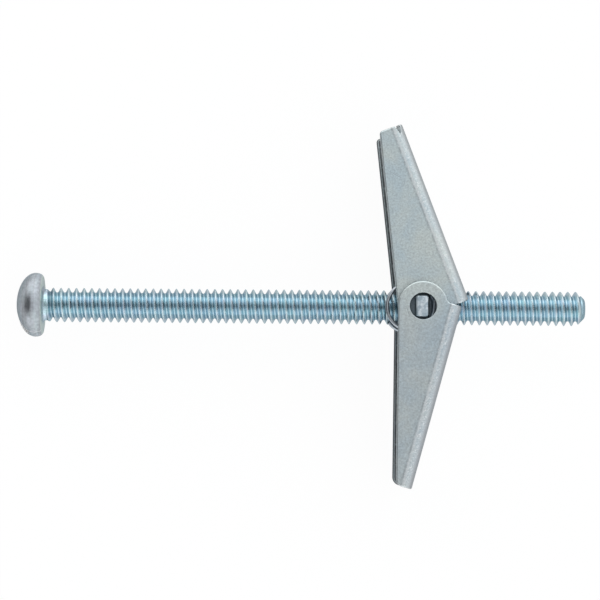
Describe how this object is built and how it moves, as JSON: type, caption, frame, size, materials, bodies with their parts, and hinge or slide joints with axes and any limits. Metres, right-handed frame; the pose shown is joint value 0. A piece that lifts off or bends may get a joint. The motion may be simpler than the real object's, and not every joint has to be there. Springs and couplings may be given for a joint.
{
  "type": "spring toggle bolt",
  "caption": "Hollow wall anchor: a round head machine screw with a trunnion nut and two sprung folding channel wings.",
  "frame": {"origin": "centre of the head's bearing face, on the screw's axis", "axes": "+X along the screw to its tip, +Y towards the upper wing, +Z along the hinge pins and up when the bolt lies on its side"},
  "size_m": [0.0782, 0.0499, 0.0112],
  "materials": {
    "screw": "bright blue zinc plate, rolled thread",
    "nut": "zinc plate, dull",
    "wings": "satin blue-grey zinc plate",
    "spring": "plated spring wire"
  },
  "bodies": {
    "screw": {"machine_screw": "screw"},
    "nut": {"trunnion_nut": "nut", "torsion_spring": "spring"},
    "upper": {"upper_wing": "wings"},
    "lower": {"lower_wing": "wings"}
  },
  "joints": [
    {"name": "nut_travel", "type": "slide", "parent": "screw", "child": "nut", "axis": [-1, 0, 0], "range_m": [-0.0185, 0.024]},
    {"name": "upper_fold", "type": "hinge", "parent": "nut", "child": "upper", "pos_m": [0.05197, 0, 0], "axis": [0, 0, 1], "range_deg": [0, 71], "stiffness_Nm_per_rad": 0.012, "springref_deg": -34.38, "deforming": ["torsion_spring"]},
    {"name": "lower_fold", "type": "hinge", "parent": "nut", "child": "lower", "pos_m": [0.05197, 0, 0], "axis": [0, 0, -1], "range_deg": [0, 78], "stiffness_Nm_per_rad": 0.012, "springref_deg": -34.38, "deforming": ["torsion_spring"]}
  ]
}
